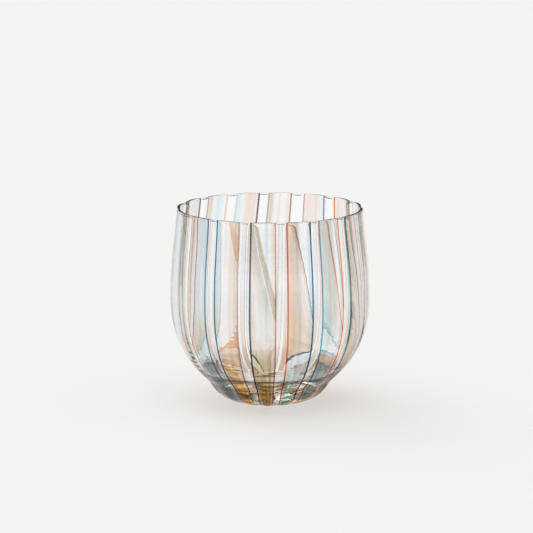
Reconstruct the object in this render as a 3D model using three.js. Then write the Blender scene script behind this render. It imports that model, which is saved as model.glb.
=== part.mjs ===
// Hand-blown tumbler with sixteen coloured ribbon canes fused into its lobed wall.
// Millimetres, +Z up. The origin is the middle of the resting face and the front of the glass is -Y.
import * as THREE from 'three';

// Overall form, measured at the crests of the lobes
const HEIGHT = 82;
const RIM_RADIUS = 39.1;
const BELLY_RADIUS = 42;
const BELLY_HEIGHT = 44.5;
const CREASE_RADIUS = 26;
const CREASE_HEIGHT = 9;
const BASE_RADIUS = 13;

// How the outline swells between those places
const HEEL_SWELL_RADIUS = 22.3;
const HEEL_SWELL_HEIGHT = 1.3;
const UNDERSIDE_SLOPE = THREE.MathUtils.degToRad(40.5);
const UNDERSIDE_REACH = 14;
const BELLY_DROP = 16;
const BELLY_RISE = 16;
const RIM_REACH = 14;
const RIM_LEAN = 1.1;

// Glass thickness and the floor of the cavity
const RIM_WALL = 1.6;
const BELLY_WALL = 2.2;
const HEEL_WALL = 2.5;
const FLOOR_HEIGHT = 8.5;
const FLOOR_EDGE_ABOVE_CREASE = 5.5;
const FLOOR_FLAT_SHARE = 0.3;

// The lip's section: 1 is a half circle, and more makes its top flatter
const LIP_SQUARENESS = 2;

// Lobes: depth from crest to trough, how far the round crest reaches of the way to the trough, and how far
// the rim dips at a trough
const LOBE_COUNT = 16;
const LOBE_DEPTH = 0.9;
const CAVITY_LOBE_DEPTH = 0.1;
const CREST_SHARE = 0.75;
const RIM_WAVE = 0.25;

// Canes: one ribbon and two edge threads share a shallow channel on each lobe
// (widths are measured at the belly)
const CHANNEL_WIDTH = 12.2;
const CHANNEL_DRAFT = 0.2;
const RIBBON_DEPTH = 0.45;
const THREAD_WIDTH = 1;
const FUSE_GAP = 0.15;
const CANE_END_HEIGHT = 0.6;
const CANE_BELOW_LIP = 0.1;

// The canes are laid by hand, so each sits a little off its even place, in degrees
const FIRST_CANE_ANGLE = -7;
const HAND_LAID = [2, 1.5, 0, -1, -1, -1.5, -2.5, -1.8, -0.7, -2.2, -3, -3, -2, 0.5, 3, 2.3];

// The bubble was turned a little as it left the mould: the canes at the back lean by this angle from
// the rim to the resting face, and those at the front stand upright
const BACK_LEAN = THREE.MathUtils.degToRad(11.5);

// Facets along the outline, around the lip and across a ribbon
const HEEL_ROWS = 2;
const BOWL_ROWS = 6;
const WALL_ROWS = 4;
const FLOOR_ROWS = 3;
const LIP_ROWS = 4;
const RIBBON_STRIPS = 4;

const GLASS_COLOURS = {
  clear: 0xeef3f1,
  navy: 0x3f5573,
  blue: 0x3b7394,
  teal: 0x63a3b3,
  slate: 0x63717c,
  rose: 0xd8867e,
  red: 0xc9625a,
  russet: 0xa9695f,
  orange: 0xe8935f,
  plum: 0x7d4f62,
  tan: 0xb39a86,
  blush: 0xf1ddd6,
  mist: 0xdbe7ea,
  pearl: 0xe6e4de,
  taupe: 0xd3cabd,
  peach: 0xf4d9c6,
};

// Left thread, ribbon and right thread of each cane, seen from outside, going round from the front
const CANES = [
  ['navy', 'taupe', 'rose'],
  ['red', 'taupe', 'blue'],
  ['teal', 'mist', 'orange'],
  ['teal', 'blush', 'slate'],
  ['slate', 'pearl', 'blue'],
  ['orange', 'pearl', 'slate'],
  ['slate', 'blush', 'orange'],
  ['slate', 'peach', 'navy'],
  ['russet', 'blush', 'tan'],
  ['plum', 'blush', 'slate'],
  ['orange', 'mist', 'rose'],
  ['navy', 'mist', 'slate'],
  ['teal', 'pearl', 'orange'],
  ['slate', 'mist', 'blue'],
  ['rose', 'blush', 'navy'],
  ['blue', 'blush', 'russet'],
];

const lobes = Array.from({ length: LOBE_COUNT }, (_, index) => index);
const evenStep = (2 * Math.PI) / LOBE_COUNT;
const channelTop = CHANNEL_WIDTH / 2 / BELLY_RADIUS;
const channelFoot = channelTop - CHANNEL_DRAFT / BELLY_RADIUS;
const threadAngle = THREAD_WIDTH / BELLY_RADIUS;
const channelDepth = RIBBON_DEPTH + FUSE_GAP;
const lipRadius = RIM_WALL / 2;
const lipHeight = HEIGHT - lipRadius;

const point = (radius, height) => new THREE.Vector2(radius, height);

// Outside outline in three curves: the heel, the bowl above the crease, and the wall up to the lip
const baseEdge = point(BASE_RADIUS, 0);
const crease = point(CREASE_RADIUS, CREASE_HEIGHT);
const belly = point(BELLY_RADIUS, BELLY_HEIGHT);
const lipOutside = point(RIM_RADIUS, lipHeight);
const undersideRun = point(Math.cos(UNDERSIDE_SLOPE), Math.sin(UNDERSIDE_SLOPE));
const heelCurve = new THREE.QuadraticBezierCurve(
  baseEdge,
  point(HEEL_SWELL_RADIUS, HEEL_SWELL_HEIGHT),
  crease,
);
const bowlCurve = new THREE.CubicBezierCurve(
  crease,
  crease.clone().addScaledVector(undersideRun, UNDERSIDE_REACH),
  point(BELLY_RADIUS, BELLY_HEIGHT - BELLY_DROP),
  belly,
);
const wallCurve = new THREE.CubicBezierCurve(
  belly,
  point(BELLY_RADIUS, BELLY_HEIGHT + BELLY_RISE),
  point(RIM_RADIUS + RIM_LEAN, lipHeight - RIM_REACH),
  lipOutside,
);

// Where a line that rises along a parameter from 0 to 1 passes a height, by halving the interval
function parameterAtHeight(pointAt, height) {
  let low = 0;
  let high = 1;
  for (let step = 0; step < 40; step += 1) {
    const middle = (low + high) / 2;
    if (pointAt(middle).y < height) low = middle;
    else high = middle;
  }
  return low;
}

// Points of a curve between two of its parameters, both ends included
function curvePoints(curve, rows, from, to) {
  return Array.from({ length: rows + 1 }, (_, row) => curve.getPoint(from + ((to - from) * row) / rows));
}

// A point set in from a curve of the outside by the thickness of the glass
function setIn(curve, parameter, thickness) {
  const run = curve.getTangent(parameter);
  return curve.getPoint(parameter).addScaledVector(point(run.y, -run.x), -thickness);
}

// Inside outline: the wall follows the outside down to the floor's edge, and from there a shallow cone
// runs in to the flat middle of the floor
const insideBowl = (parameter) => setIn(bowlCurve, parameter, HEEL_WALL);
const floorTurn = parameterAtHeight(insideBowl, CREASE_HEIGHT + FLOOR_EDGE_ABOVE_CREASE);
const floorEdge = insideBowl(floorTurn);
const floorCurve = new THREE.QuadraticBezierCurve(
  floorEdge,
  point(floorEdge.x * FLOOR_FLAT_SHARE, FLOOR_HEIGHT),
  point(0, FLOOR_HEIGHT),
);

// Points of the inside wall behind a curve, from one parameter to another, as its thickness changes
function insidePoints(curve, rows, from, to, thicknessFrom, thicknessTo) {
  return Array.from({ length: rows + 1 }, (_, row) => {
    const share = row / rows;
    const parameter = THREE.MathUtils.lerp(from, to, share);
    return setIn(curve, parameter, THREE.MathUtils.lerp(thicknessFrom, thicknessTo, share));
  });
}

// Lobes grow from nothing at the crease to full depth at the belly, and the rim wave grows above it
const swellAt = (height) => THREE.MathUtils.smoothstep(height, CREASE_HEIGHT, BELLY_HEIGHT);
const riseAt = (height) => Math.max(0, (height - BELLY_HEIGHT) / (HEIGHT - BELLY_HEIGHT)) ** 2;

// A row of the outline: its place, the depth of its lobes and the outward direction at it
function outlineRow(place, lobeDepth, outward) {
  const lobe = lobeDepth * swellAt(place.y);
  const dip = RIM_WAVE * riseAt(place.y);
  return { place, lobe, dip, outward };
}

// Outward direction along a line of points, square to the run between each point's neighbours
function outwardDirections(points) {
  return points.map((_, index) => {
    const before = points[Math.max(0, index - 1)];
    const after = points[Math.min(points.length - 1, index + 1)];
    const run = after.clone().sub(before).normalize();
    return point(run.y, -run.x);
  });
}

const onHeel = (parameter) => heelCurve.getPoint(parameter);
const onWall = (parameter) => wallCurve.getPoint(parameter);
const caneStart = parameterAtHeight(onHeel, CANE_END_HEIGHT);
const runOut = parameterAtHeight(onHeel, CANE_END_HEIGHT / 2);
const caneStop = parameterAtHeight(onWall, lipHeight - CANE_BELOW_LIP);
const canePoints = [
  ...curvePoints(heelCurve, HEEL_ROWS, caneStart, 1),
  ...curvePoints(bowlCurve, BOWL_ROWS, 0, 1).slice(1),
  ...curvePoints(wallCurve, WALL_ROWS, 0, caneStop).slice(1),
];
const caneOutward = outwardDirections(canePoints);
const caneRows = canePoints.map((place, index) => outlineRow(place, LOBE_DEPTH, caneOutward[index]));

// The lip is a half circle between the outer and the inner wall, with its top squared
const squared = (value) => Math.sign(value) * Math.abs(value) ** (1 / LIP_SQUARENESS);
const lipRows = Array.from({ length: LIP_ROWS + 1 }, (_, row) => {
  const share = row / LIP_ROWS;
  const turn = Math.PI * share;
  const radius = RIM_RADIUS - lipRadius + lipRadius * squared(Math.cos(turn));
  const place = point(radius, lipHeight + lipRadius * squared(Math.sin(turn)));
  return outlineRow(place, THREE.MathUtils.lerp(LOBE_DEPTH, CAVITY_LOBE_DEPTH, share), point(1, 0));
});

const cavityRows = [
  ...insidePoints(wallCurve, WALL_ROWS - 1, 1, 0, RIM_WALL, BELLY_WALL).slice(1),
  ...insidePoints(bowlCurve, BOWL_ROWS - 1, 1, floorTurn, BELLY_WALL, HEEL_WALL).slice(1),
  ...curvePoints(floorCurve, FLOOR_ROWS, 0, 1).slice(1, -1),
].map((place) => outlineRow(place, CAVITY_LOBE_DEPTH, point(1, 0)));

// Cane centres around the glass, and the trough half way to the next cane
const degrees = THREE.MathUtils.degToRad;
const caneAngles = lobes.map((index) => {
  const offset = HAND_LAID[index % HAND_LAID.length];
  return degrees(FIRST_CANE_ANGLE + offset) + index * evenStep;
});
function troughAfter(index) {
  const next = (index + 1) % LOBE_COUNT;
  const lap = next === 0 ? 2 * Math.PI : 0;
  return (caneAngles[index] + caneAngles[next] + lap) / 2;
}
function troughBefore(index) {
  const last = (index + LOBE_COUNT - 1) % LOBE_COUNT;
  return troughAfter(last) - (index === 0 ? 2 * Math.PI : 0);
}

// How far down from the crest an angle lies on its lobe: 0 at the cane's middle, 1 at the trough. A wide
// parabola over the crest meets a narrow one, turned over, in the trough.
function sinkAt(index, angle) {
  const offset = angle - caneAngles[index];
  const half = offset < 0 ? caneAngles[index] - troughBefore(index) : troughAfter(index) - caneAngles[index];
  const way = Math.abs(offset) / half;
  if (way < CREST_SHARE) return way ** 2 / CREST_SHARE;
  return 1 - (1 - way) ** 2 / (1 - CREST_SHARE);
}

// How far the lean carries an angle round at a height: not at all in front, most at the back
function leanAt(angle, height) {
  const backShare = (1 - Math.cos(angle)) / 2;
  return BACK_LEAN * backShare * (1 - height / HEIGHT);
}

// A point of the lobed wall at a row and an angle, set in by a depth along the outline's normal
function wallPoint(row, index, angle, depth) {
  const sink = sinkAt(index, angle);
  const radius = row.place.x - row.lobe * sink - depth * row.outward.x;
  const height = row.place.y - row.dip * sink - depth * row.outward.y;
  const turn = angle + leanAt(angle, row.place.y);
  return new THREE.Vector3(radius * Math.sin(turn), -radius * Math.cos(turn), height);
}

// Joins rings of points into a closed shell; poles close it where given, and flat strips otherwise
function shell(rings, poles) {
  const count = rings[0].length;
  const points = rings.flat();
  const triangles = [];
  for (let ring = 0; ring + 1 < rings.length; ring += 1) {
    for (let side = 0; side < count; side += 1) {
      const a = ring * count + side;
      const b = ring * count + ((side + 1) % count);
      triangles.push(a, b, b + count, a, b + count, a + count);
    }
  }
  const last = (rings.length - 1) * count;
  if (poles) {
    const first = points.push(...poles) - 2;
    for (let side = 0; side < count; side += 1) {
      const next = (side + 1) % count;
      triangles.push(first, next, side, first + 1, last + side, last + next);
    }
  } else {
    for (let side = 0; side + 1 < count / 2; side += 1) {
      const far = count - 1 - side;
      triangles.push(side, far, far - 1, side, far - 1, side + 1);
      triangles.push(last + side, last + side + 1, last + far - 1, last + side, last + far - 1, last + far);
    }
  }
  const geometry = new THREE.BufferGeometry();
  geometry.setAttribute('position', new THREE.Float32BufferAttribute(points.flatMap((p) => p.toArray()), 3));
  geometry.setIndex(triangles);
  geometry.computeVertexNormals();
  return geometry;
}

// Angles across one lobe of the clear glass, with the depth of the channel at each
function clearStations(index) {
  const centre = caneAngles[index];
  const stations = [{ angle: centre - channelTop, cut: 0 }];
  for (let strip = 0; strip <= RIBBON_STRIPS; strip += 1) {
    stations.push({ angle: centre + channelFoot * ((2 * strip) / RIBBON_STRIPS - 1), cut: channelDepth });
  }
  stations.push({ angle: centre + channelTop, cut: 0 });
  stations.push({ angle: troughAfter(index), cut: 0 });
  return stations;
}

function clearRing(row, hasChannel) {
  return lobes.flatMap((index) =>
    clearStations(index).map(({ angle, cut }) => wallPoint(row, index, angle, hasChannel ? cut : 0)),
  );
}

// The clear gather: solid heel, lobed wall with its channels, round lip and open cavity
function clearBowl() {
  const heelRows = [baseEdge, heelCurve.getPoint(runOut)].map((place) => outlineRow(place, 0, point(1, 0)));
  const rings = [
    ...heelRows.map((row) => clearRing(row, false)),
    ...caneRows.map((row) => clearRing(row, true)),
    ...lipRows.map((row) => clearRing(row, false)),
    ...cavityRows.map((row) => clearRing(row, false)),
  ];
  return shell(rings, [new THREE.Vector3(0, 0, 0), new THREE.Vector3(0, 0, FLOOR_HEIGHT)]);
}

// A strip of glass that follows the outline, between two offsets from the cane's middle at each row
function caneStrip(index, strips, edgesAt) {
  const rings = caneRows.map((row) => {
    const [left, right] = edgesAt(row.place.x);
    const outer = [];
    const inner = [];
    for (let strip = 0; strip <= strips; strip += 1) {
      const angle = caneAngles[index] + THREE.MathUtils.lerp(left, right, strip / strips);
      outer.push(wallPoint(row, index, angle, 0));
      inner.unshift(wallPoint(row, index, angle, RIBBON_DEPTH));
    }
    return [...outer, ...inner];
  });
  return shell(rings, null);
}

// Half angles of the ribbon and of its thread at a radius, with the same gap beside each
function caneSplit(radius) {
  const gap = FUSE_GAP / radius;
  const threadOutside = channelFoot - gap;
  const threadInside = threadOutside - threadAngle;
  return { threadOutside, threadInside, ribbonHalf: threadInside - gap };
}

function ribbon(index) {
  return caneStrip(index, RIBBON_STRIPS, (radius) => {
    const { ribbonHalf } = caneSplit(radius);
    return [-ribbonHalf, ribbonHalf];
  });
}

function edgeThread(index, side) {
  return caneStrip(index, 1, (radius) => {
    const { threadInside, threadOutside } = caneSplit(radius);
    return side === 'left' ? [-threadOutside, -threadInside] : [threadInside, threadOutside];
  });
}

function glass(name, geometry, colour, opacity) {
  const material = new THREE.MeshStandardMaterial({
    color: GLASS_COLOURS[colour],
    roughness: 0.04,
    metalness: 0,
    transparent: true,
    opacity,
  });
  const mesh = new THREE.Mesh(geometry, material);
  mesh.name = name;
  return mesh;
}

const tumbler = new THREE.Group();
tumbler.add(glass('clear_bowl', clearBowl(), 'clear', 0.25));
lobes.forEach((index) => {
  const [left, middle, right] = CANES[index % CANES.length];
  const number = String(index + 1).padStart(2, '0');
  tumbler.add(glass(`ribbon_${number}`, ribbon(index), middle, 0.45));
  tumbler.add(glass(`thread_left_${number}`, edgeThread(index, 'left'), left, 0.85));
  tumbler.add(glass(`thread_right_${number}`, edgeThread(index, 'right'), right, 0.85));
});

export default tumbler;
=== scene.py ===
# %% [markdown]
# # A striped tumbler of blown glass
# The glass is one gather of clear glass, blown into a ribbed mould so that its wall has sixteen soft
# lobes. On every lobe lies a ribbon of tinted glass with a thread of stronger colour along each side,
# and the heat has melted all of it together. This file dresses the CAD solids of those 49 pieces in
# smooth surfaces and real glass, piece by piece. Sizes are written in millimetres, as a glass maker
# would give them, and become Blender's metres when a mesh or a pattern is made.

# %% Load the frame
import math
import bpy
import numpy as np
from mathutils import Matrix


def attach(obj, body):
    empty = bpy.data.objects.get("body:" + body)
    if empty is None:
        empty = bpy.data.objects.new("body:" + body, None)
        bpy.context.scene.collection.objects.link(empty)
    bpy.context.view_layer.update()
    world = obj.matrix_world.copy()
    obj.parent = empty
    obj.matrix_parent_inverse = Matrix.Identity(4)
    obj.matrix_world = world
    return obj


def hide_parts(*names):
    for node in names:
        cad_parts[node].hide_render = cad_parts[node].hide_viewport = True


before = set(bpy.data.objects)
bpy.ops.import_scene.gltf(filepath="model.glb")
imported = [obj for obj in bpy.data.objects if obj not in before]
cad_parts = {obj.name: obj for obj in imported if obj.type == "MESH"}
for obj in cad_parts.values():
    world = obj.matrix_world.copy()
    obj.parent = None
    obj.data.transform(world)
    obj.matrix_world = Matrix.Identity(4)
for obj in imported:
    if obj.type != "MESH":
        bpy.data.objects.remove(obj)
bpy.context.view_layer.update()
MM = 0.001

# %% [markdown]
# ## The camera
# The photograph was taken with a long lens from a little over a metre away, looking down by about
# eleven degrees. A camera can be placed by eye, but then every later match of form and colour rests on
# a guess. Here its distance, height, pitch and focal length come from fitting the rim's ellipse, the
# crease and the foot. Its small turn round the glass was fitted to the threads at the front and back.

# %% Camera
PHOTO_SIDE = 533
FOCAL_PIXELS = 2917
SENSOR_WIDTH = 36
CAMERA_DISTANCE = 1200
CAMERA_HEIGHT = 283.5
CAMERA_PITCH = 10.70
CAMERA_ASIDE = -1.4
CAMERA_TURN = math.radians(0.75)

camera_data = bpy.data.cameras.new("camera")
camera_data.sensor_width = SENSOR_WIDTH
camera_data.lens = SENSOR_WIDTH * FOCAL_PIXELS / PHOTO_SIDE
camera = bpy.data.objects.new("camera", camera_data)
across_view = np.array([math.cos(CAMERA_TURN), -math.sin(CAMERA_TURN), 0])
into_view = np.array([math.sin(CAMERA_TURN), math.cos(CAMERA_TURN), 0])
camera_place = CAMERA_ASIDE * across_view - CAMERA_DISTANCE * into_view + [0, 0, CAMERA_HEIGHT]
camera.location = camera_place * MM
camera.rotation_euler = (math.radians(90 - CAMERA_PITCH), 0, -CAMERA_TURN)
bpy.context.scene.collection.objects.link(camera)
bpy.context.scene.camera = camera
print("lens:", round(camera_data.lens, 1), "mm")

# %% [markdown]
# ## The outline
# A blown tumbler is round about its axis, so its form is one outline carried round. The outside runs
# in three curves: the heel that was gathered twice and is solid, the bowl above the crease, and the
# wall that leans in to the lip. A drawn spline would do, but a few control points with the sizes of
# the CAD solids keep the two models together.

# %% Sizes of the outside
HEIGHT = 82
RIM_RADIUS = 39.1
BELLY_RADIUS = 42
BELLY_HEIGHT = 44.5
CREASE_RADIUS = 26
CREASE_HEIGHT = 9
BASE_RADIUS = 13
HEEL_SWELL = (22.3, 1.3)
UNDERSIDE_SLOPE = math.radians(40.5)
UNDERSIDE_REACH = 14
BELLY_DROP = 16
BELLY_RISE = 16
RIM_REACH = 14
RIM_LEAN = 1.1
RIM_WALL = 1.6
LIP_RADIUS = RIM_WALL / 2
LIP_HEIGHT = HEIGHT - LIP_RADIUS

crease = np.array([CREASE_RADIUS, CREASE_HEIGHT])
underside = crease + UNDERSIDE_REACH * np.array([math.cos(UNDERSIDE_SLOPE), math.sin(UNDERSIDE_SLOPE)])
belly = (BELLY_RADIUS, BELLY_HEIGHT)
heel_controls = [(BASE_RADIUS, 0), HEEL_SWELL, crease]
bowl_controls = [crease, underside, (BELLY_RADIUS, BELLY_HEIGHT - BELLY_DROP), belly]
wall_controls = [
    belly,
    (BELLY_RADIUS, BELLY_HEIGHT + BELLY_RISE),
    (RIM_RADIUS + RIM_LEAN, LIP_HEIGHT - RIM_REACH),
    (RIM_RADIUS, LIP_HEIGHT),
]
print("control points:", len(heel_controls) + len(bowl_controls) + len(wall_controls) - 2)

# %% Outside line
FINE = 400
BASE_STEPS = 80
AXIS_GAP = 0.5  # the line stops this far from the axis, where a pole closes the skin


def bezier(controls, share):
    """Bezier curve: each control point times its Bernstein polynomial of the share along the curve."""
    order = len(controls) - 1
    steps = np.arange(order + 1)
    chosen = np.array([math.comb(order, step) for step in steps])
    weights = chosen * share[:, None] ** steps * (1 - share[:, None]) ** (order - steps)
    return weights @ np.array(controls, float)


def along(points):
    """Arc length from the first point to each point of a line: the running sum of the steps."""
    return np.concatenate([[0], np.cumsum(np.linalg.norm(np.diff(points, axis=0), axis=1))])


curve_share = np.linspace(0, 1, FINE)
base_line = np.stack([np.linspace(AXIS_GAP, BASE_RADIUS, BASE_STEPS), np.zeros(BASE_STEPS)], axis=1)
heel_line, bowl_line, wall_line = [
    bezier(controls, curve_share) for controls in (heel_controls, bowl_controls, wall_controls)
]
outside_line = np.concatenate([base_line[:-1], heel_line[:-1], bowl_line[:-1], wall_line])
print("outside line:", len(outside_line), "points over", round(along(outside_line)[-1], 1), "mm")

# %% [markdown]
# ## Melted corners
# Fire-polished glass has no sharp corner, so the crease and the edge of the foot are a little round. A
# Bevel modifier could do that on the finished mesh. It is done on the line, where one running mean
# rounds every corner alike. The CAD solids have flat facets, which cut inside the true curve, so the
# smooth line is set in by a hair and the finished glass stays inside their box.

# %% Melt the outside line
CREASE_MELT = 0.3
MELT_STEP = 0.05
MELT_SPAN = 3
FACET_INSET = 0.06


def melted(points, reach):
    """The line with its corners melted round: a running mean over a bell curve of the given reach. Each end
    is carried on by its own mirror image, so that it stays where it is."""
    length = along(points)
    even = np.arange(0, length[-1] + MELT_STEP / 2, MELT_STEP)
    line = np.stack([np.interp(even, length, points[:, axis]) for axis in (0, 1)], axis=1)
    span = int(MELT_SPAN * reach / MELT_STEP)
    bell = np.exp(-0.5 * (np.arange(-span, span + 1) * MELT_STEP / reach) ** 2)
    before = 2 * line[0] - line[span:0:-1]
    after = 2 * line[-1] - line[-2 : -span - 2 : -1]
    padded = np.concatenate([before, line, after])
    bell /= bell.sum()
    return np.stack([np.convolve(padded[:, axis], bell, "valid") for axis in (0, 1)], axis=1)


outside = melted(outside_line, CREASE_MELT)
outside[:, 0] -= FACET_INSET * outside[:, 0] / BELLY_RADIUS
print("outside outline:", round(along(outside)[-1], 1), "mm long")

# %% [markdown]
# ## The inside
# The hollow follows the outside at the thickness of the glass, thin at the lip and thicker below. At
# the bottom it turns into a shallow floor over the solid heel. A Solidify modifier would give one
# thickness all over, so the inside is a line of its own, set in along the normal by a changing amount.

# %% Inside outline
BELLY_WALL = 2.2
HEEL_WALL = 2.5
FLOOR_HEIGHT = 8.5
FLOOR_EDGE_HEIGHT = 14.5
FLOOR_FLAT_SHARE = 0.3
FLOOR_MELT = 0.3


def outward_normals(points):
    """Normals of a line: its run from point to point, made one long and turned by a quarter."""
    run = np.gradient(points, axis=0)
    run /= np.linalg.norm(run, axis=1)[:, None]
    return np.stack([run[:, 1], -run[:, 0]], axis=1)


def set_in(points, thickness):
    """Points moved in along their normals by the thickness at each of them."""
    return points - thickness[:, None] * outward_normals(points)


inside_bowl = set_in(bowl_line, np.linspace(HEEL_WALL, BELLY_WALL, FINE))
inside_wall = set_in(wall_line, np.linspace(BELLY_WALL, RIM_WALL, FINE))
inside_bowl = inside_bowl[inside_bowl[:, 1] > FLOOR_EDGE_HEIGHT]
floor_edge = inside_bowl[0]
floor_controls = [floor_edge, (floor_edge[0] * FLOOR_FLAT_SHARE, FLOOR_HEIGHT), (AXIS_GAP, FLOOR_HEIGHT)]
floor_line = bezier(floor_controls, curve_share)
inside = melted(np.concatenate([inside_wall[:0:-1], inside_bowl[:0:-1], floor_line]), FLOOR_MELT)
print("floor edge at radius", round(floor_edge[0], 1), "height", round(floor_edge[1], 1))

# %% [markdown]
# ## The lip
# The lip was cut, and then melted in the flame until its corners drew themselves round. Its section is
# a half circle that is squared a little. The flat top is what shows as a thin dark line from the
# side, and a plain half circle would lose that line.

# %% Lip outline
LIP_SQUARENESS = 1.6
LIP_STEPS = 25

# A squared half circle: the cosine and the sine of the turn, each to the power of 1 over the squareness.
lip_turn = np.linspace(0, math.pi, LIP_STEPS)[1:-1]
lip_across = np.sign(np.cos(lip_turn)) * np.abs(np.cos(lip_turn)) ** (1 / LIP_SQUARENESS)
lip_rise = np.sin(lip_turn) ** (1 / LIP_SQUARENESS)
lip_radius = RIM_RADIUS - LIP_RADIUS + LIP_RADIUS * lip_across
lip = np.stack([lip_radius, LIP_HEIGHT + LIP_RADIUS * lip_rise], axis=1)
print("lip:", len(lip), "points, top at", round(lip[:, 1].max(), 2), "mm")

# %% [markdown]
# ## Where the canes lie
# Each cane lies on the crest of a lobe, laid by hand and so a few degrees off its even place. Each
# trough is half way between two canes. An Array modifier round the axis would space them evenly, so
# the angles are a list, counted from the front of the glass.

# %% Angles of crests and troughs
LOBE_COUNT = 16
FIRST_CANE_ANGLE = -7
HAND_LAID = [2, 1.5, 0, -1, -1, -1.5, -2.5, -1.8, -0.7, -2.2, -3, -3, -2, 0.5, 3, 2.3]

even_angles = np.arange(LOBE_COUNT) * 360 / LOBE_COUNT
cane_angles = np.radians(FIRST_CANE_ANGLE + np.array(HAND_LAID) + even_angles)
next_angles = np.append(cane_angles[1:], cane_angles[0] + 2 * math.pi)
troughs_after = (cane_angles + next_angles) / 2
troughs_before = np.append(troughs_after[-1] - 2 * math.pi, troughs_after[:-1])
print("cane centres in degrees:", np.round(np.degrees(cane_angles), 1).tolist())

# %% [markdown]
# ## Lobes
# The ribbed mould leaves wide round crests with narrow troughs between them. A cosine wave is the usual
# way to make such ribs, but its troughs are as wide as its crests and bend the far side of the glass
# into other images than the real one does. Two parabolas that meet with the same slope give the right
# form. The lobes grow from nothing at the crease, and the inside has hardly any.

# %% Depth of the lobes
LOBE_DEPTH = 0.9
CAVITY_LOBE_DEPTH = 0.1
CREST_SHARE = 0.75


def sink(index, angle):
    """How far down its lobe an angle lies: a parabola that is 0 at the crest, and beyond the crest's share
    of the way a narrower one, turned over, that reaches 1 at the trough."""
    offset = angle - cane_angles[index]
    before = cane_angles[index] - troughs_before[index]
    after = troughs_after[index] - cane_angles[index]
    half = np.where(offset < 0, before, after)
    way = np.abs(offset) / half
    return np.where(way < CREST_SHARE, way**2 / CREST_SHARE, 1 - (1 - way) ** 2 / (1 - CREST_SHARE))


def lobe_depth(height, lip_share):
    """Depth at the trough: a smooth step of the height from the crease to the belly, times a mix of the
    outside's and the cavity's depth by the share of the way over the lip."""
    rise = np.clip((height - CREASE_HEIGHT) / (BELLY_HEIGHT - CREASE_HEIGHT), 0, 1)
    full = LOBE_DEPTH + (CAVITY_LOBE_DEPTH - LOBE_DEPTH) * lip_share
    return full * (rise * rise * (3 - 2 * rise))


print("lobe depth half way up the bowl:", round(lobe_depth((CREASE_HEIGHT + BELLY_HEIGHT) / 2, 0), 2), "mm")

# %% [markdown]
# ## Rim wave and lean
# The lip dips a little at every trough, because the wall drew down there. The bubble was also turned as
# it left the mould, so the canes at the back lean from the rim to the foot. A Simple Deform modifier
# would twist every side alike. Here one function carries a line round the axis with all of these.

# %% Carry a line round the axis
RIM_WAVE = 0.25
BACK_LEAN = math.radians(11.5)


def rim_dip(height):
    """The rim's wave grows with the square of the height above the belly."""
    return RIM_WAVE * np.clip((height - BELLY_HEIGHT) / (HEIGHT - BELLY_HEIGHT), 0, None) ** 2


def leaned(angles, height):
    """Angles turned on by the lean, with half of one minus the cosine round the glass, so that the back
    leans most, and with the share of the height that is left to the rim."""
    return angles + BACK_LEAN * (1 - np.cos(angles)) / 2 * (1 - height / HEIGHT)


def carried_round(line, lobe, angles, sinks, under=0):
    """Points of an outline carried round the axis: the radius loses the lobe depth times the sink, the
    height loses the rim's dip times the sink, and both lose the depth under the surface along the
    line's normal. The front of the glass is towards minus Y."""
    outward = outward_normals(line)
    radius = line[:, :1] - lobe[:, None] * sinks - under * outward[:, :1]
    height = line[:, 1:] - rim_dip(line[:, 1])[:, None] * sinks - under * outward[:, 1:]
    turn = leaned(angles, line[:, 1:])
    return np.stack([radius * np.sin(turn), -radius * np.cos(turn), height], axis=-1)


print("lean of the back at the foot:", round(math.degrees(leaned(math.pi, 0)) - 180, 1), "degrees")

# %% [markdown]
# ## The clear gather
# The clear glass is one closed skin: up the outside, over the lip, down the inside and across the
# floor. It could be a revolve with the Screw modifier, but a grid of rows and columns lets the lobes
# and the rim's wave be part of the surface. Rows are packed closer where the outline turns. The skin
# lies a hair under the outer faces of the canes, so that light meets a cane's colour first.

# %% Line of the gather
OUTSIDE_ROWS = 110
INSIDE_ROWS = 84
SKIN_UNDER_CANES = 0.04
TURN_WEIGHT = 6


def spaced(points, rows):
    """Rows along a line, each with an equal share of its length plus its turning."""
    run = np.diff(points, axis=0)
    heading = np.unwrap(np.arctan2(run[:, 1], run[:, 0]))
    turning = np.concatenate([[0], np.abs(np.diff(heading)), [0]])
    measure = along(points) + TURN_WEIGHT * np.cumsum(turning)
    wanted = np.linspace(0, measure[-1], rows)
    return np.stack([np.interp(wanted, measure, points[:, axis]) for axis in (0, 1)], axis=1)


gather_line = np.concatenate([spaced(outside, OUTSIDE_ROWS), lip, spaced(inside, INSIDE_ROWS)])
gather_line = set_in(gather_line, np.full(len(gather_line), SKIN_UNDER_CANES))
lip_shares = np.concatenate([np.zeros(OUTSIDE_ROWS), lip_turn / math.pi, np.ones(INSIDE_ROWS)])
gather_lobes = lobe_depth(gather_line[:, 1], lip_shares)
print("gather line:", len(gather_line), "rows")

# %% Skin of the gather
COLUMNS_PER_LOBE = 22


def smooth_mesh(name, points, faces):
    """A mesh object at the origin, from points in millimetres and faces, shaded smooth."""
    mesh = bpy.data.meshes.new(name)
    mesh.from_pydata((points * MM).tolist(), [], [face.tolist() for face in faces])
    mesh.polygons.foreach_set("use_smooth", np.ones(len(mesh.polygons), bool))
    mesh.update()
    piece = bpy.data.objects.new(name, mesh)
    bpy.context.scene.collection.objects.link(piece)
    return piece


def ring_faces(rows, columns):
    """Quads between neighbouring rings of points, closed round each ring."""
    row, column = np.meshgrid(np.arange(rows - 1), np.arange(columns), indexing="ij")
    following = (column + 1) % columns
    corners = [row * columns + column, row * columns + following]
    corners += [(row + 1) * columns + following, (row + 1) * columns + column]
    return np.stack([corner.ravel() for corner in corners], axis=1)


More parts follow.
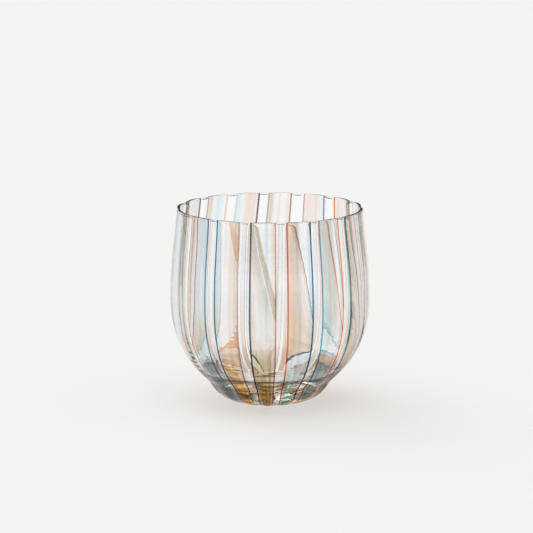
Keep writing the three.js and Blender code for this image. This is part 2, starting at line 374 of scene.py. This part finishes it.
lobe_share = np.arange(COLUMNS_PER_LOBE) / COLUMNS_PER_LOBE
lobe_index = np.repeat(np.arange(LOBE_COUNT), COLUMNS_PER_LOBE)
lobe_spans = troughs_after - troughs_before
skin_angles = (troughs_before[:, None] + lobe_spans[:, None] * lobe_share).ravel()
skin = carried_round(gather_line, gather_lobes, skin_angles, sink(lobe_index, skin_angles))
rows, columns = skin.shape[:2]
print("skin of the gather:", rows, "rows of", columns, "points")

# %% Close the gather at the axis
poles = np.array([[0, 0, gather_line[0, 1]], [0, 0, gather_line[-1, 1]]])
foot_pole = np.full(columns, rows * columns)
floor_pole = foot_pole + 1
foot_ring = np.arange(columns)
floor_ring = foot_ring + (rows - 1) * columns
foot_cap = np.stack([foot_pole, np.roll(foot_ring, -1), foot_ring], axis=1)
floor_cap = np.stack([floor_pole, floor_ring, np.roll(floor_ring, -1)], axis=1)
gather_points = np.concatenate([skin.reshape(-1, 3), poles])
gather = smooth_mesh("clear_gather", gather_points, [*ring_faces(rows, columns), *foot_cap, *floor_cap])
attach(gather, "root")
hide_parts("clear_bowl")
print("clear gather:", len(gather.data.polygons), "faces")

# %% [markdown]
# ## Canes
# A cane is a rod of coloured glass, drawn thin and laid along the hot bubble. Pressed into the wall it
# becomes a flat ribbon with a thread on each side. A painted stripe on the gather would look much the
# same from the front, but the real canes are pieces, and each has its own edges and ends. Ribbons and
# threads are the same kind of strip. It follows the outside from the heel to a little way over the
# lip, between two angles beside its crest.

# %% Line and widths of a cane
CHANNEL_WIDTH = 12.2
CHANNEL_DRAFT = 0.2
THREAD_WIDTH = 1.0
FUSE_GAP = 0.15
CANE_END_HEIGHT = 0.6
CANE_LIP_TURN = math.radians(75)
CANE_ROWS = 96

cane_lip = lip[lip_turn < CANE_LIP_TURN]
cane_line = spaced(np.concatenate([outside[outside[:, 1] > CANE_END_HEIGHT], cane_lip]), CANE_ROWS)
# The turn over the lip is read back from the height: the inverse of the lip's squared half circle.
lip_climb = np.clip((cane_line[:, 1] - LIP_HEIGHT) / LIP_RADIUS, 0, 1)
cane_lip_share = np.arcsin(lip_climb**LIP_SQUARENESS) / math.pi
cane_lobes = lobe_depth(cane_line[:, 1], cane_lip_share)
cane_length = along(cane_line)[-1]

channel_foot = (CHANNEL_WIDTH / 2 - CHANNEL_DRAFT) / BELLY_RADIUS
thread_outside = channel_foot - FUSE_GAP / cane_line[:, 0]
thread_inside = thread_outside - THREAD_WIDTH / BELLY_RADIUS
ribbon_half = thread_inside - FUSE_GAP / cane_line[:, 0]
ribbon_width = 2 * ribbon_half.max() * BELLY_RADIUS
print("cane:", round(cane_length, 1), "mm long, its ribbon", round(ribbon_width, 1), "mm wide")

# %% [markdown]
# ## What a strip carries
# A colour has to follow its cane, so each strip has a map of its own, with U across and V along. The
# bubble stretched as it was blown, most at the belly, so the colour is thin there and crowds together
# towards the heel. The tint deepens towards the heel more than that alone would make it: the rest is
# painted shade, which darkens the foot. That thickness is one number at each point, kept as an
# attribute. A texture on Object coordinates could do neither.

# %% Map and tint thickness
# The steep thinning and the high limit go past the colour's crowding: they paint shade on the foot.
TINT_THINNING = 3.2
TINT_LIMIT = 4.6


def map_cane(piece, across, along_share):
    """The strip's own UV map, from each point's shares across and along it."""
    spot = np.stack(np.broadcast_arrays(across, along_share[:, None]), axis=-1).reshape(-1, 2)
    corner = np.zeros(len(piece.data.loops), int)
    piece.data.loops.foreach_get("vertex_index", corner)
    piece.data.uv_layers.new(name="cane").data.foreach_set("uv", spot[corner].ravel())


def crowd_and_shade_tint(piece, points_across):
    """The tint's thickness: the belly's radius over the radius here, to the power of the thinning, and no
    more than the limit. Part of it is the colour crowding together, and the rest is painted shade on the
    foot."""
    crowding_and_shade = np.minimum((BELLY_RADIUS / cane_line[:, 0]) ** TINT_THINNING, TINT_LIMIT)
    values = np.repeat(crowding_and_shade, points_across)
    piece.data.attributes.new("crowding_and_shade", "FLOAT", "POINT").data.foreach_set("value", values)


print("tint limit reached below radius", round(BELLY_RADIUS / TINT_LIMIT ** (1 / TINT_THINNING), 1), "mm")

# %% One strip
RIBBON_DEPTH = 0.45


def cane_strip(name, index, left, right, columns, edge_sink):
    """A closed strip on the wall between a left and a right angle at every row. Across it the outer face
    sinks at the edges and the inner face rises to meet it, both with the fourth power of the distance
    from the middle, so the strip's section is a flat lens."""
    across = np.linspace(0, 1, columns)
    bulge = (2 * across - 1) ** 4
    outer_depth = edge_sink * bulge
    inner_depth = RIBBON_DEPTH - edge_sink * bulge
    round_share = np.concatenate([across, across[::-1]])
    round_depth = np.concatenate([outer_depth, inner_depth[::-1]])
    angle = cane_angles[index] + left[:, None] + (right - left)[:, None] * round_share
    points = carried_round(cane_line, cane_lobes, angle, sink(index, angle), round_depth)
    count = 2 * columns
    side = np.arange(columns - 1)
    far = count - 1 - side
    bottom = np.stack([side, far, far - 1, side + 1], axis=1)
    top = (CANE_ROWS - 1) * count + np.stack([side, side + 1, far - 1, far], axis=1)
    piece = smooth_mesh(name, points.reshape(-1, 3), [*ring_faces(CANE_ROWS, count), *bottom, *top])
    map_cane(piece, round_share, along(cane_line) / cane_length)
    crowd_and_shade_tint(piece, count)
    return piece


print("strip depth:", RIBBON_DEPTH, "mm")

# %% All strips
RIBBON_COLUMNS = 17
THREAD_COLUMNS = 7
RIBBON_EDGE = 0.12
THREAD_EDGE = 0.2

ribbons, left_threads, right_threads = [], [], []
strips = [
    (ribbons, "ribbon_cane", -ribbon_half, ribbon_half, RIBBON_COLUMNS, RIBBON_EDGE),
    (left_threads, "left_thread", -thread_outside, -thread_inside, THREAD_COLUMNS, THREAD_EDGE),
    (right_threads, "right_thread", thread_inside, thread_outside, THREAD_COLUMNS, THREAD_EDGE),
]
for index in range(LOBE_COUNT):
    for pieces, name, left, right, points_across, edge_sink in strips:
        pieces.append(cane_strip(f"{name}_{index + 1:02d}", index, left, right, points_across, edge_sink))
print("canes:", len(ribbons), "ribbons and", len(left_threads) + len(right_threads), "threads")

# %% [markdown]
# ## Colours and nodes
# A colour is given as an sRGB hex value, but light adds up in linear values, so one function
# turns the first into the second. Nodes could be added by hand in the shader editor. One small
# function that adds a node with its settings and links keeps each material readable as a recipe.

# %% Colours and nodes
SRGB_TOE = 0.04045


def linear(hex_colour):
    """An sRGB hex colour as linear red, green and blue, by a straight toe and a power curve, and an alpha."""
    channels = np.array([int(hex_colour[place : place + 2], 16) for place in (0, 2, 4)]) / 255
    curve = np.where(channels <= SRGB_TOE, channels / 12.92, ((channels + 0.055) / 1.055) ** 2.4)
    return (*curve.tolist(), 1.0)


def add_node(tree, kind, settings=(), **inputs):
    """Adds a node, sets its properties, and gives each input a value or a link from another node's output.
    An input is named by its socket's name with underscores for spaces, or in_0, in_1 by its place."""
    node = tree.nodes.new(kind)
    for name, value in dict(settings).items():
        setattr(node, name, value)
    for name, value in inputs.items():
        socket = node.inputs[int(name[3:]) if name.startswith("in_") else name.replace("_", " ")]
        if isinstance(value, bpy.types.NodeSocket):
            tree.links.new(value, socket)
        else:
            socket.default_value = value
    return node


def new_material(name):
    """An empty material and its node tree."""
    material = bpy.data.materials.new(name)
    material.use_nodes = True
    material.node_tree.nodes.clear()
    return material, material.node_tree


def spread_stops(ramp, places, colours):
    """Gives a colour ramp one stop for each place, in their order."""
    stops = ramp.color_ramp.elements
    for _ in colours[2:]:
        stops.new(0.5)
    for stop, place, colour in zip(stops, places, colours):
        stop.position = place
        stop.color = colour


print("sRGB 808080 in linear values:", round(linear("808080")[0], 3))

# %% [markdown]
# ## Clear soda glass
# The gather is soda-lime glass, blown in a mould and fire-polished. Its thin wall has no colour, and the
# thick heel a faint amber. Where the bubble chilled against the mould it has long low ripples, most of
# them low in the bowl, which fray the edges of what is seen through it. The ripples are about a tenth
# of a millimetre high at most and change no outline, so they are a bump in the material. The faint
# amber could be a tint of the surface, but only absorption in the body grows with the thickness.

# %% Ripples of the chilled glass
RIPPLE_WIDTH = 14
RIPPLE_HEIGHT = 3
RIPPLE_DETAIL = 1.5
RIPPLE_DEPTHS = [(0, 0.08), (12, 0.08), (14, 0.13), (20, 0.13), (26, 0.05), (HEIGHT, 0.04)]


def chilled_ripples(tree):
    """A bump from a noise that is wider than it is high, times a depth in millimetres that runs straight
    from one pair of height and depth to the next."""
    place = add_node(tree, "ShaderNodeTexCoord").outputs["Object"]
    pulled = add_node(
        tree,
        "ShaderNodeMapping",
        Vector=place,
        Scale=(1 / (RIPPLE_WIDTH * MM), 1 / (RIPPLE_WIDTH * MM), 1 / (RIPPLE_HEIGHT * MM)),
    )
    noise = add_node(
        tree, "ShaderNodeTexNoise", Vector=pulled.outputs[0], Scale=1.0, Detail=RIPPLE_DETAIL
    )
    parts = add_node(tree, "ShaderNodeSeparateXYZ", Vector=place)
    climb = add_node(
        tree, "ShaderNodeMath", {"operation": "MULTIPLY"}, in_0=parts.outputs["Z"], in_1=1 / (HEIGHT * MM)
    )
    depth = add_node(tree, "ShaderNodeValToRGB", Fac=climb.outputs[0])
    places = [height / HEIGHT for height, _ in RIPPLE_DEPTHS]
    spread_stops(depth, places, [(ripple, ripple, ripple, 1) for _, ripple in RIPPLE_DEPTHS])
    swell = add_node(
        tree,
        "ShaderNodeMath",
        {"operation": "MULTIPLY"},
        in_0=noise.outputs["Fac"],
        in_1=depth.outputs["Color"],
    )
    return add_node(tree, "ShaderNodeBump", Height=swell.outputs[0], Distance=MM, Strength=1.0).outputs[0]


print("deepest ripple:", max(ripple for _, ripple in RIPPLE_DEPTHS), "mm")

# %% Clear soda glass
def clear_soda_glass():
    """Blown soda-lime glass. To the eye it is bright and colourless, with sharp reflections, bent images of
    the far side and an amber depth in the heel."""
    material, tree = new_material("clear_soda_glass")
    glass = add_node(
        tree,
        "ShaderNodeBsdfPrincipled",
        Base_Color=linear("fefefe"),
        Roughness=0.0,
        IOR=1.52,
        Transmission_Weight=1.0,
        Normal=chilled_ripples(tree),
    )
    body = add_node(tree, "ShaderNodeVolumeAbsorption", Color=linear("d8d3b4"), Density=18.0)
    add_node(tree, "ShaderNodeOutputMaterial", Surface=glass.outputs[0], Volume=body.outputs[0])
    return material


gather.data.materials.append(clear_soda_glass())
print("clear gather in", gather.data.materials[0].name)

# %% [markdown]
# ## The glasses
# A glass maker keeps coloured rods and names them. Ribbons are drawn from the pale ones, threads mostly
# from the strong ones, and the last three colour only the tails of ribbons. Each hex value is the
# colour of white light after one crossing of a cane at the belly, at a density of 1. One list for all
# canes keeps the same glass the same colour wherever it is used.

# %% Coloured glasses
GLASSES = {
    "white": "fdfcfb",
    "blush": "f8e5da",
    "mist": "dcebf0",
    "pearl": "f4eeeb",
    "taupe": "e2d5c8",
    "olive": "ccc6b2",
    "sand": "f2dfcb",
    "peach": "fbd9c2",
    "lavender": "e6e1ec",
    "smoke": "d9d9d7",
    "sage": "cde0df",
    "navy": "52738e",
    "blue": "3a84a2",
    "teal": "4f9fb3",
    "slate": "63717c",
    "rose": "d9988f",
    "red": "d27468",
    "russet": "b77f74",
    "orange": "ec9563",
    "plum": "7d4f62",
    "tan": "ac9a82",
    "amber": "fae5c8",
    "lagoon": "e2ecee",
    "oat": "e2d5b8",
}
print("glasses:", len(GLASSES))

# %% [markdown]
# ## Tints across a cane
# Each ribbon was drawn from several glasses side by side, so its tint changes across its width in soft
# bands, with fine streaks that run along it where the glass is thicker or thinner. Its tail was left
# thick on the heel and shows the full colour of its rod. An image could hold all this, but a ramp over
# U, a smooth step over V and a stretched noise say it in a few values.

# %% Bands and tail
BAND_MARGIN = 0.06
TAIL_FULL = 0.34
TAIL_GONE = 0.5


def banded(tree, across, bands):
    """The glasses of a list at even places across U, each running into the next."""
    ramp = add_node(tree, "ShaderNodeValToRGB", Fac=across)
    places = np.linspace(BAND_MARGIN, 1 - BAND_MARGIN, len(bands))
    spread_stops(ramp, places, [linear(GLASSES[glass]) for glass in bands])
    return ramp.outputs["Color"]


def tailed(tree, lengthwise, tint, tail):
    """The tint with its tail's glass mixed in: all of it low on V, and none past a smooth step."""
    reach = add_node(
        tree,
        "ShaderNodeMapRange",
        {"interpolation_type": "SMOOTHSTEP"},
        Value=lengthwise,
        From_Min=TAIL_FULL,
        From_Max=TAIL_GONE,
        To_Min=1.0,
        To_Max=0.0,
    )
    mixed = add_node(
        tree,
        "ShaderNodeMix",
        {"data_type": "RGBA"},
        in_0=reach.outputs["Result"],
        in_6=tint,
        in_7=linear(GLASSES[tail]),
    )
    return mixed.outputs[2]


print("tails reach", round(TAIL_GONE * cane_length, 1), "mm along a cane from the foot")

# %% Streaks
STREAK_WIDTH = 1.5
STREAK_LENGTH = 60
STREAK_CONTRAST = 0.45
STREAK_NOISE = (0.3, 0.7)


def streaked(tree, place, shift):
    """The thickness in streaks: a noise, stretched along the cane, around 1 by the streaks' contrast."""
    drawn = add_node(
        tree,
        "ShaderNodeMapping",
        Vector=place,
        Location=(shift, shift, 0),
        Scale=(ribbon_width / STREAK_WIDTH, cane_length / STREAK_LENGTH, 1),
    )
    noise = add_node(
        tree, "ShaderNodeTexNoise", {"noise_dimensions": "2D"}, Vector=drawn.outputs[0], Scale=1.0
    )
    thickness = add_node(
        tree,
        "ShaderNodeMapRange",
        Value=noise.outputs["Fac"],
        From_Min=STREAK_NOISE[0],
        From_Max=STREAK_NOISE[1],
        To_Min=1 - STREAK_CONTRAST,
        To_Max=1 + STREAK_CONTRAST,
    )
    return thickness.outputs["Result"]


print("streaks:", STREAK_WIDTH, "mm wide and", STREAK_LENGTH, "mm long")

# %% [markdown]
# ## Tinted glass
# A cane is soda glass coloured with metal oxides, drawn out and melted into the wall. Fused glass has no
# surface between its pieces, so a cane neither bends light nor shines by itself: it only stains what
# passes. A Glass shader on it would add edges that the real one lacks, so it is a coloured Transparent
# shader. Light crosses two faces of a strip, so each face takes the square root of the tint.

# %% Tinted glass
FACES_CROSSED = 2


def tinted_glass(name, bands, tail, density, streak_shift):
    """Drawn, fused cane glass. To the eye it is a clean stain with soft bands and fine streaks, deeper
    towards the heel, partly with painted shade. The tint is raised to a power: its density over the faces
    crossed, times the heel's deepening at this point, times the thickness of the streak."""
    material, tree = new_material(name)
    place = add_node(tree, "ShaderNodeUVMap", {"uv_map": "cane"}).outputs[0]
    parts = add_node(tree, "ShaderNodeSeparateXYZ", Vector=place)
    tint = banded(tree, parts.outputs["X"], bands)
    if tail:
        tint = tailed(tree, parts.outputs["Y"], tint, tail)
    crowding_and_shade = add_node(tree, "ShaderNodeAttribute", {"attribute_name": "crowding_and_shade"})
    power = add_node(
        tree,
        "ShaderNodeMath",
        {"operation": "MULTIPLY"},
        in_0=crowding_and_shade.outputs["Fac"],
        in_1=density / FACES_CROSSED,
    )
    power = add_node(
        tree,
        "ShaderNodeMath",
        {"operation": "MULTIPLY"},
        in_0=power.outputs[0],
        in_1=streaked(tree, place, streak_shift),
    )
    face = add_node(tree, "ShaderNodeGamma", Color=tint, Gamma=power.outputs[0])
    stain = add_node(tree, "ShaderNodeBsdfTransparent", Color=face.outputs[0])
    add_node(tree, "ShaderNodeOutputMaterial", Surface=stain.outputs[0])
    return material


print("faces of a strip that light crosses:", FACES_CROSSED)

# %% [markdown]
# ## The threads
# A thread is a thinner rod of stronger glass beside the ribbon. Most are darkest on the outer side and
# run out into a second colour towards the ribbon, so a thread too is a row of glasses, from the outer
# side in. A right thread has the row turned round. One material with a colour for each object would
# give plain threads only, so each kind and side has a material, which all threads of that kind share.

# %% Threads in their colours
THREAD_DENSITY = 1.0
THREADS = {
    "navy": "navy navy navy sand",
    "sea_navy": "blue navy mist mist",
    "edged_navy": "navy peach blush blush",
    "blue": "blue blue blue mist",
    "edged_blue": "peach peach peach teal",
    "teal": "teal teal mist mist",
    "edged_teal": "teal teal tan tan",
    "slate": "smoke slate smoke",
    "faint_slate": "smoke mist mist",
    "pale_slate": "pearl mist white",
    "faint_blue": "mist smoke mist",
    "rose": "tan rose blush blush",
    "red": "red red peach sand",
    "russet": "russet taupe taupe",
    "faint_russet": "taupe russet blush",
    "orange": "orange orange orange peach",
    "faint_orange": "peach blush blush",
    "faint_teal": "mist teal mist",
    "plum": "plum plum blush",
    "tan": "taupe olive taupe",
}
thread_materials = {}


def thread_glass(colour, side):
    """The glass of a kind of thread on one side, made when it is first asked for. The length of the kind's
    name shifts its streaks, so that two kinds seldom share them."""
    if (colour, side) not in thread_materials:
        bands = THREADS[colour].split()
        bands = bands if side == "left" else bands[::-1]
        name = f"{side}_{colour}_thread_glass"
        thread_materials[colour, side] = tinted_glass(name, bands, None, THREAD_DENSITY, len(colour))
    return thread_materials[colour, side]


print("kinds of thread:", len(THREADS))

# %% [markdown]
# ## The order of the colours
# The list goes round the glass from the front to the right, and each line is one cane: its left thread,
# the name of its ribbon, the glasses across the ribbon from left to right, the glass of its tail, and
# its right thread. The front ones are matched to the photograph, and those at the sides and the back
# to what it shows of them above the rim and through the wall. Random colours would be shorter to
# write, but a maker chooses each cane.

# %% Order of the canes
CANES = [
    ("navy", "taupe", "sand white white white white mist white blush", "oat", "rose"),
    ("red", "taupe", "peach taupe taupe smoke white white white mist", "lagoon", "blue"),
    ("teal", "mist", "sage sage smoke sage smoke pearl white smoke", "lagoon", "orange"),
    ("edged_teal", "blush", "taupe taupe smoke smoke blush taupe lavender blush", "taupe", "slate"),
    ("faint_slate", "pearl", "pearl blush white pearl", "pearl", "faint_blue"),
    ("faint_orange", "pearl", "pearl white pearl white", "sand", "faint_slate"),
    ("faint_slate", "blush", "mist pearl blush blush", "pearl", "orange"),
    ("slate", "peach", "mist pearl blush blush pearl", "sand", "edged_navy"),
    ("faint_russet", "blush", "blush white white blush white pearl olive", "pearl", "tan"),
    ("plum", "blush", "blush blush pearl mist", "sand", "faint_slate"),
    ("faint_orange", "mist", "white mist pearl taupe", "pearl", "rose"),
    ("navy", "mist", "peach mist pearl white", "sand", "faint_slate"),
    ("faint_teal", "pearl", "mist pearl white blush", "pearl", "faint_orange"),
    ("pale_slate", "mist", "pearl mist white pearl", "pearl", "edged_blue"),
    ("rose", "blush", "taupe taupe lavender pearl mist mist", "lagoon", "sea_navy"),
    ("blue", "blush", "mist pearl white pearl white blush blush taupe", "amber", "russet"),
]
print("canes in the list:", len(CANES))

# %% Dress the canes
RIBBON_DENSITY = 0.62
RIBBON_STREAK_SHIFT = 5

for index, (left, ribbon, bands, tail, right) in enumerate(CANES):
    number = f"{index + 1:02d}"
    ribbon_glass = tinted_glass(
        f"ribbon_glass_{number}", bands.split(), tail, RIBBON_DENSITY, RIBBON_STREAK_SHIFT * index
    )
    ribbons[index].data.materials.append(ribbon_glass)
    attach(ribbons[index], "root")
    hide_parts(f"ribbon_{number}")
    threads = [(left_threads[index], left, "left"), (right_threads[index], right, "right")]
    for thread, colour, side in threads:
        thread.data.materials.append(thread_glass(colour, side))
        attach(thread, "root")
        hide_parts(f"thread_{side}_{number}")
print("dressed:", len(CANES), "ribbons, and threads in", len(thread_materials), "glasses")

# %% [markdown]
# ## The floor
# The glass stands on a sheet of matt, pale paper that runs on to the horizon. More light would make the
# paper white, but it would also burn out the glass. So a part of what the camera sees of the paper is
# a glow of its own, and the rest is lit paper that takes the shadow. Glass shows the floor behind it,
# so reflected and refracted rays see the glow too. They see more of it, and whiter: that is painted
# light, in place of the light the glass gathers onto the paper, and it brightens the glass and lifts the
# shadow seen under it. The lit part is cool and the glow warm: in the open the two make a neutral white,
# and in the shadow the warm one is left, a painted warm tint of the shadow.

# %% Floor
FLOOR_RADIUS = 6000
FLOOR_SIDES = 96
FLOOR_BELOW = 0.05

turns = np.linspace(0, 2 * math.pi, FLOOR_SIDES, endpoint=False)
floor_points = np.stack([np.cos(turns), np.sin(turns), np.zeros(FLOOR_SIDES)], axis=1) * FLOOR_RADIUS
floor_points[:, 2] = -FLOOR_BELOW
floor = smooth_mesh("floor", floor_points, [np.arange(FLOOR_SIDES)])
print("floor:", FLOOR_BELOW, "mm below the foot")

# %% Pale paper
PAPER_GLOW = 0.58
GLOW_AND_PAINTED_LIGHT_IN_GLASS = 0.85


def pale_paper():
    """Uncoated paper. To the eye it is even and without shine, and keeps a soft shadow. The share of glow is
    one value for camera rays plus another, larger one for glossy and transmission rays: painted light in the
    shadow seen through glass."""
    material, tree = new_material("pale_paper")
    path = add_node(tree, "ShaderNodeLightPath").outputs
    in_glass = add_node(
        tree,
        "ShaderNodeMath",
        {"operation": "MAXIMUM"},
        in_0=path["Is Glossy Ray"],
        in_1=path["Is Transmission Ray"],
    )
    direct = add_node(
        tree, "ShaderNodeMath", {"operation": "MULTIPLY"}, in_0=path["Is Camera Ray"], in_1=PAPER_GLOW
    )
    # Glossy and transmission rays get a larger and whiter glow: painted light that lifts the shadow seen
    # through the glass.
    share = add_node(
        tree,
        "ShaderNodeMath",
        {"operation": "MULTIPLY_ADD"},
        in_0=in_glass.outputs[0],
        in_1=GLOW_AND_PAINTED_LIGHT_IN_GLASS,
        in_2=direct.outputs[0],
    )
    # The warm glow and the cool lit paper are a painted warm shadow: neutral in the open, warm where the lit
    # part is shaded.
    colour = add_node(
        tree,
        "ShaderNodeMix",
        {"data_type": "RGBA"},
        in_0=in_glass.outputs[0],
        in_6=linear("fef4ea"),
        in_7=linear("fdfdfd"),
    )
    lit = add_node(tree, "ShaderNodeBsdfDiffuse", Color=linear("e5f4ff"))
    glow = add_node(tree, "ShaderNodeEmission", Color=colour.outputs[2], Strength=1.0)
    paper = add_node(
        tree, "ShaderNodeMixShader", in_0=share.outputs[0], in_1=lit.outputs[0], in_2=glow.outputs[0]
    )
    add_node(tree, "ShaderNodeOutputMaterial", Surface=paper.outputs[0])
    return material


floor.data.materials.append(pale_paper())
print("floor in", floor.data.materials[0].name)

# %% [markdown]
# ## The light
# Glass has no look of its own: it shows the room. A dim horizon, a soft light overhead, a key light
# behind the glass to the left and paler sides were matched to the shadow and the bright edges in the
# photograph. Lamps would give hard spots in the glass, so the room is a world whose light changes
# softly with the direction. It is scaled so that a surface facing up renders in the colour that was
# written for it.

# %% Level of the light
HORIZON_LEVEL = 0.15
ZENITH_LEVEL = 2.0
ZENITH_SHARPNESS = 4
KEY_LEVEL = 3
KEY_DIRECTION = np.array([-0.5, 0.55, 0.67])
KEY_SHARPNESS = 12
SIDE_LEVEL = 0.8
SIDE_SHARPNESS = 6
SKY_SAMPLES = 20000

key_axis = KEY_DIRECTION / np.linalg.norm(KEY_DIRECTION)


def room_light(directions):
    """Light from a direction: the horizon's level, plus an overhead, a key and a side lobe. Each lobe is its
    level times a power of how far the direction points up, to the key or to either side."""
    overhead = np.clip(directions[:, 2], 0, None) ** ZENITH_SHARPNESS
    key = np.clip(directions @ key_axis, 0, None) ** KEY_SHARPNESS
    sides = np.abs(directions[:, 0]) ** SIDE_SHARPNESS
    return HORIZON_LEVEL + ZENITH_LEVEL * overhead + KEY_LEVEL * key + SIDE_LEVEL * sides


def sphere_points(count):
    """Even points on the upper half of a sphere: equal steps of height, turned by the golden angle."""
    height = (np.arange(count) + 0.5) / count
    angle = np.arange(count) * math.pi * (3 - math.sqrt(5))
    flat = np.sqrt(1 - height**2)
    return np.stack([flat * np.cos(angle), flat * np.sin(angle), height], axis=1)


# What a floor receives is twice the mean of the light times the height of its direction.
sky = sphere_points(SKY_SAMPLES)
floor_level = (room_light(sky) * sky[:, 2]).mean() * 2
print("light on the floor before scaling:", round(floor_level, 3))

# %% Room light in nodes
world = bpy.data.worlds.new("soft_room")
bpy.context.scene.world = world
world.use_nodes = True
room = world.node_tree
room.nodes.clear()

direction = add_node(room, "ShaderNodeTexCoord").outputs["Generated"]
parts = add_node(room, "ShaderNodeSeparateXYZ", Vector=direction)
up = add_node(room, "ShaderNodeMath", {"operation": "MAXIMUM"}, in_0=parts.outputs["Z"], in_1=0.0)
facing = add_node(
    room, "ShaderNodeVectorMath", {"operation": "DOT_PRODUCT"}, in_0=direction, in_1=key_axis.tolist()
)
facing = add_node(room, "ShaderNodeMath", {"operation": "MAXIMUM"}, in_0=facing.outputs["Value"], in_1=0.0)
aside = add_node(room, "ShaderNodeMath", {"operation": "ABSOLUTE"}, in_0=parts.outputs["X"])
light_lobes = [
    (up, ZENITH_SHARPNESS, ZENITH_LEVEL),
    (facing, KEY_SHARPNESS, KEY_LEVEL),
    (aside, SIDE_SHARPNESS, SIDE_LEVEL),
]
level = HORIZON_LEVEL / floor_level
for pointing, sharpness, strength in light_lobes:
    lobe = add_node(room, "ShaderNodeMath", {"operation": "POWER"}, in_0=pointing.outputs[0], in_1=sharpness)
    total = add_node(
        room,
        "ShaderNodeMath",
        {"operation": "MULTIPLY_ADD"},
        in_0=lobe.outputs[0],
        in_1=strength / floor_level,
        in_2=level,
    )
    level = total.outputs[0]
background = add_node(room, "ShaderNodeBackground", Color=(1, 1, 1, 1), Strength=level)
add_node(room, "ShaderNodeOutputWorld", Surface=background.outputs[0])
print("room light:", len(room.nodes), "nodes")

# %% [markdown]
# ## View and bounces
# The Standard view shows a colour as it was written. Light in a lobed glass crosses many faces of clear
# glass and canes before it leaves, and each ray that is cut short turns black, so the bounces go well
# above Blender's own numbers.

# %% View and bounces
scene = bpy.context.scene
scene.view_settings.view_transform = "Standard"
scene.cycles.max_bounces = 32
scene.cycles.transmission_bounces = 32
scene.cycles.glossy_bounces = 16
scene.cycles.transparent_max_bounces = 64
print("bounces:", scene.cycles.max_bounces, "and", scene.cycles.transparent_max_bounces, "through canes")
